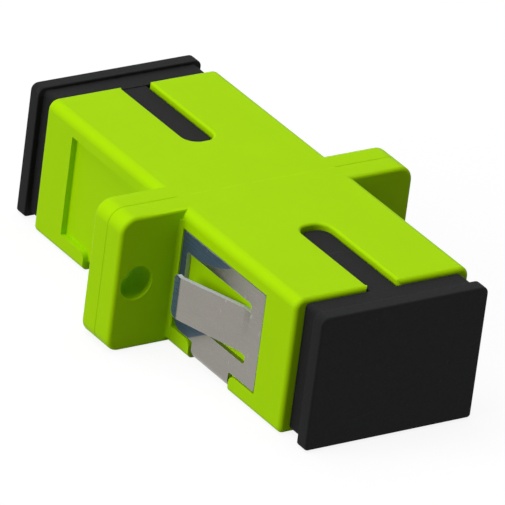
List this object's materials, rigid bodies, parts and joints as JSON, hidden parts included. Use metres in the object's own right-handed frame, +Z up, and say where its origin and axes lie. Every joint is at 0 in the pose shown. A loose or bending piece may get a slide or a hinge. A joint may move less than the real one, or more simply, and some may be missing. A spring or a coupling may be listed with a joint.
{
  "type": "sc fibre adapter",
  "caption": "Green fibre optic adapter: a rectangular sleeve housing with screw ears, keyed ports, a steel panel clip and push-in dust caps.",
  "frame": {"origin": "on the optical axis in the mating plane, the middle of the flange's thickness, which is also the middle of the whole part", "axes": "+Y along the optical axis from the clip side to the plain side, +X across the two ears, +Z up to the key slots"},
  "size_m": [0.022, 0.034, 0.0094],
  "materials": {
    "green_plastic": "satin moulded",
    "insert_plastic": "satin moulded",
    "ceramic": "ground and polished",
    "spring_steel": "rolled sheet",
    "black_plastic": "satin moulded"
  },
  "bodies": {
    "housing": {"front_housing": "green_plastic", "rear_housing": "green_plastic", "front_latch_insert": "insert_plastic", "rear_latch_insert": "insert_plastic", "alignment_sleeve": "ceramic", "panel_clip": "spring_steel"},
    "front_cap": {"front_dust_cap": "black_plastic"},
    "rear_cap": {"rear_dust_cap": "black_plastic"}
  },
  "joints": [
    {"name": "front_cap_pull", "type": "slide", "parent": "housing", "child": "front_cap", "axis": [0, -1, 0], "range_m": [0, 0.012]},
    {"name": "rear_cap_pull", "type": "slide", "parent": "housing", "child": "rear_cap", "axis": [0, 1, 0], "range_m": [0, 0.012]}
  ]
}
